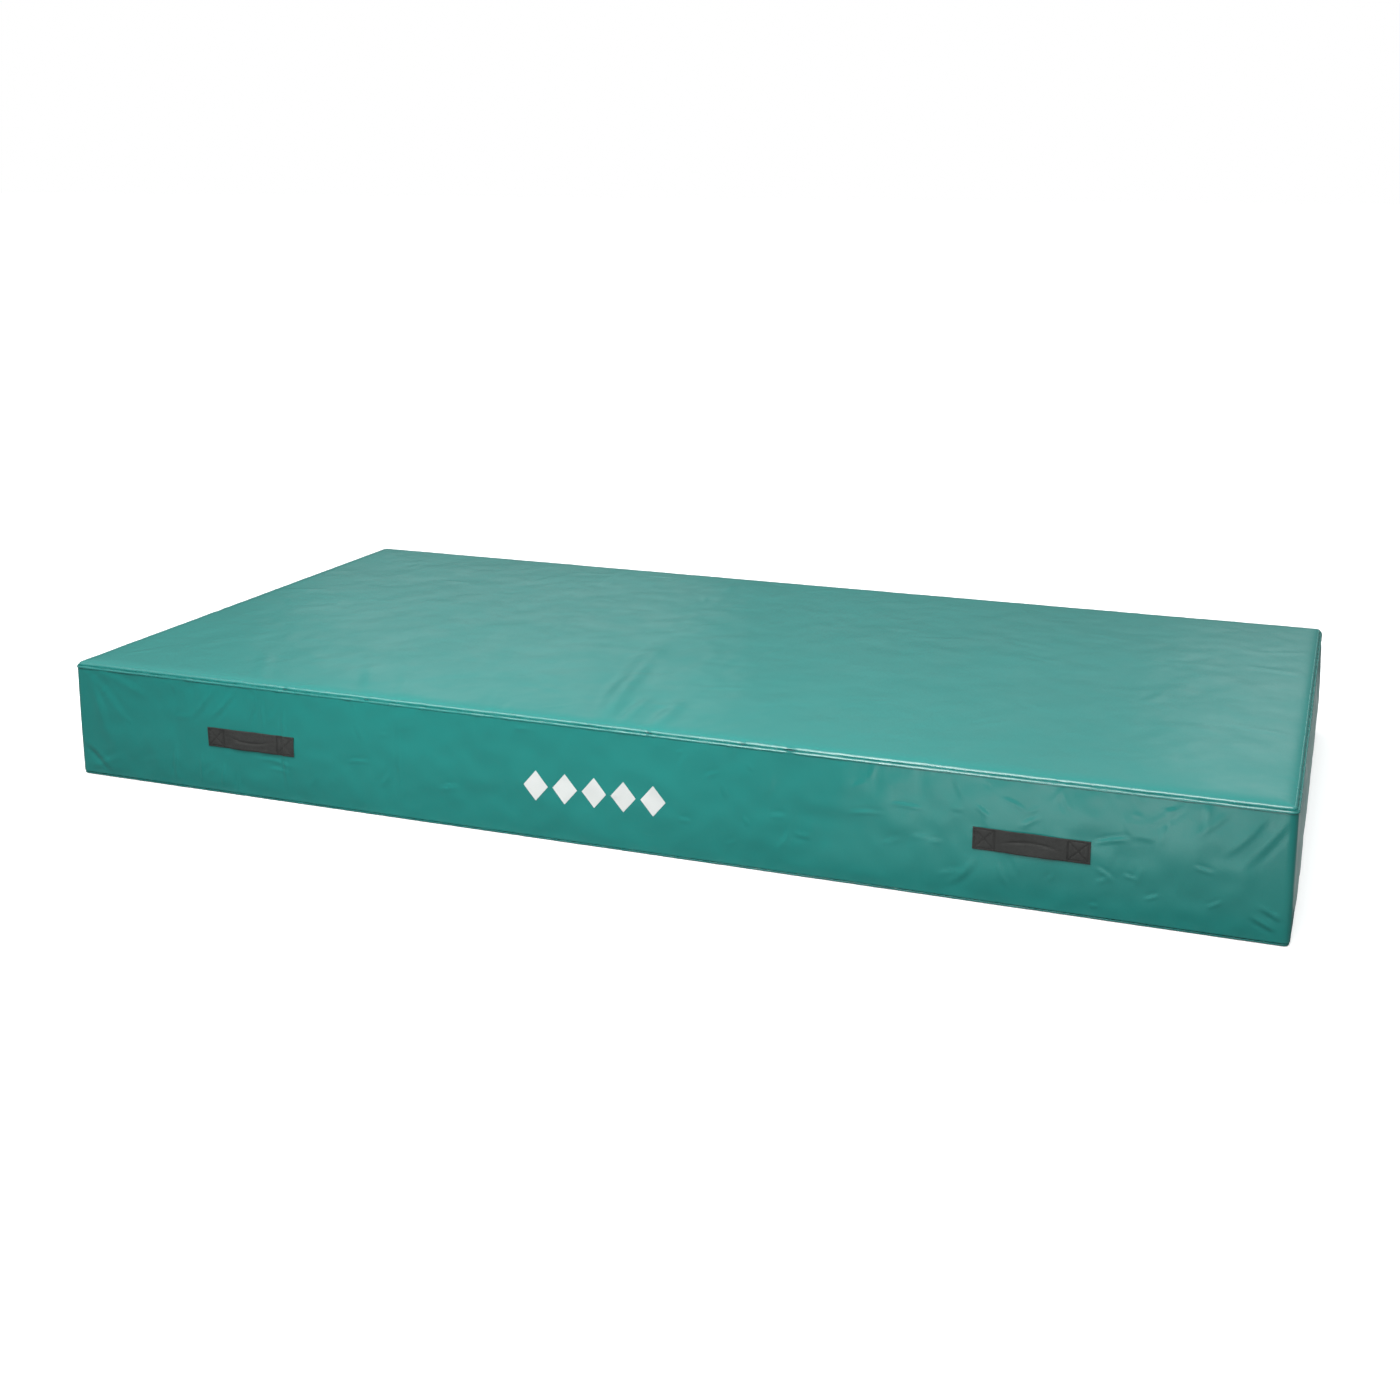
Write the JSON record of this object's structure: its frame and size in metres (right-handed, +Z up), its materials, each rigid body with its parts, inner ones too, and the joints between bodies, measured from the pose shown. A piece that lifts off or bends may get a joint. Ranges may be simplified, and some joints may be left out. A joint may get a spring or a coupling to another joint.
{
  "type": "crash landing mat",
  "caption": "Thick rectangular foam landing mat in a sewn, coated cover with webbing carrying handles on its long sides, a rear zip and vented ends.",
  "frame": {"origin": "on the floor under the middle of the mat", "axes": "+X along the mat's length, towards the zip's closed end; -Y out of the front long side, which carries the centre mark; +Z up, out of the landing face"},
  "size_m": [3.0026, 1.5216, 0.3],
  "materials": {
    "cover": "satin",
    "grip_base": "matte",
    "webbing": "matte",
    "white_film": "satin",
    "soft_foam": "matte",
    "firm_foam": "matte",
    "chip_foam": "matte",
    "zip_tape": "matte",
    "zip_coil": "satin",
    "nickel": "polished"
  },
  "bodies": {
    "mat": {"back_left_handle_backing": "cover", "back_left_handle_end_1": "webbing", "back_left_handle_end_2": "webbing", "back_lower_panel": "cover", "back_right_handle_backing": "cover", "back_right_handle_end_1": "webbing", "back_right_handle_end_2": "webbing", "back_upper_panel": "cover", "base_foam": "chip_foam", "bottom_panel": "grip_base", "bottom_seam": "cover", "centre_mark_1": "white_film", "centre_mark_2": "white_film", "centre_mark_3": "white_film", "centre_mark_4": "white_film", "centre_mark_5": "white_film", "core_foam_left": "soft_foam", "core_foam_right": "soft_foam", "front_left_handle_backing": "cover", "front_left_handle_end_1": "webbing", "front_left_handle_end_2": "webbing", "front_right_handle_backing": "cover", "front_right_handle_end_1": "webbing", "front_right_handle_end_2": "webbing", "front_side_panel": "cover", "left_end_panel": "cover", "left_vent_eyelet_1": "nickel", "left_vent_eyelet_2": "nickel", "left_vent_eyelet_3": "nickel", "left_vent_washer_1": "nickel", "left_vent_washer_2": "nickel", "left_vent_washer_3": "nickel", "right_end_panel": "cover", "right_vent_eyelet_1": "nickel", "right_vent_eyelet_2": "nickel", "right_vent_eyelet_3": "nickel", "right_vent_washer_1": "nickel", "right_vent_washer_2": "nickel", "right_vent_washer_3": "nickel", "top_foam": "firm_foam", "top_panel": "cover", "top_seam": "cover", "zip_left_end_patch": "cover", "zip_left_stop": "nickel", "zip_lower_coil": "zip_coil", "zip_lower_tape": "zip_tape", "zip_right_end_patch": "cover", "zip_right_stop": "nickel", "zip_upper_coil": "zip_coil", "zip_upper_tape": "zip_tape"},
    "front_left_grip": {"front_left_handle_grip": "webbing"},
    "front_right_grip": {"front_right_handle_grip": "webbing"},
    "back_left_grip": {"back_left_handle_grip": "webbing"},
    "back_right_grip": {"back_right_handle_grip": "webbing"},
    "zip_slider": {"zip_slider": "nickel"},
    "zip_pull": {"zip_pull": "nickel"}
  },
  "joints": [
    {"name": "front_left_grip_lift", "type": "slide", "parent": "mat", "child": "front_left_grip", "axis": [0, -1, 0], "range_m": [0, 0.03]},
    {"name": "front_right_grip_lift", "type": "slide", "parent": "mat", "child": "front_right_grip", "axis": [0, -1, 0], "range_m": [0, 0.03]},
    {"name": "back_left_grip_lift", "type": "slide", "parent": "mat", "child": "back_left_grip", "axis": [0, 1, 0], "range_m": [0, 0.03]},
    {"name": "back_right_grip_lift", "type": "slide", "parent": "mat", "child": "back_right_grip", "axis": [0, 1, 0], "range_m": [0, 0.03]},
    {"name": "zip_slide", "type": "slide", "parent": "mat", "child": "zip_slider", "axis": [1, 0, 0], "range_m": [-2.799, 0]},
    {"name": "zip_pull_flip", "type": "hinge", "parent": "zip_slider", "child": "zip_pull", "pos_m": [1.3997, 0.75523, 0.05], "axis": [0, 0, -1], "range_deg": [0, 175]}
  ]
}
